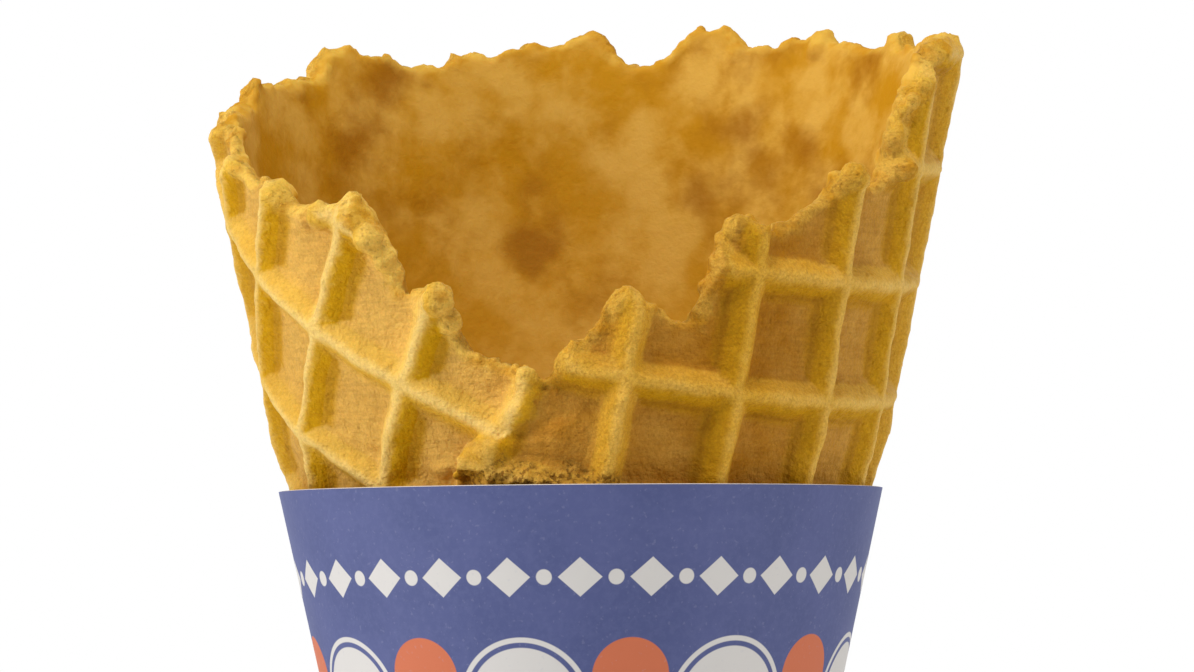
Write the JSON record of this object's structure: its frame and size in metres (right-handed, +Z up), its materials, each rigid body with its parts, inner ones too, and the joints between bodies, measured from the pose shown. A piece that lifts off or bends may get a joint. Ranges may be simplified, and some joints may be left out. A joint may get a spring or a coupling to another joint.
{
  "type": "waffle cone in paper sleeve",
  "caption": "Hand-rolled waffle cone with a ragged rim and raised square ridges, standing in a pointed printed paper sleeve with a glued seam.",
  "frame": {"origin": "centre of the 44 mm ring on the sleeve where a cone holder carries it, 100 mm above the point where the sleeve's sides would meet", "axes": "+Z up the cone's axis towards its mouth, -Y the front with the notch in the rim, +X to the right seen from the front"},
  "size_m": [0.0766, 0.0732, 0.1852],
  "materials": {
    "wafer": "matte, baked, golden brown with darker patches",
    "printed_paper": "uncoated, printed blue with pale and orange-red motifs",
    "glue": "dried white paste"
  },
  "bodies": {
    "sleeve": {"paper_sleeve": "printed_paper", "seam_glue": "glue"},
    "cone": {"waffle_cone": "wafer"}
  },
  "joints": [
    {"name": "cone_lift", "type": "slide", "parent": "sleeve", "child": "cone", "axis": [0, 0, 1], "range_m": [0, 0.13]}
  ]
}
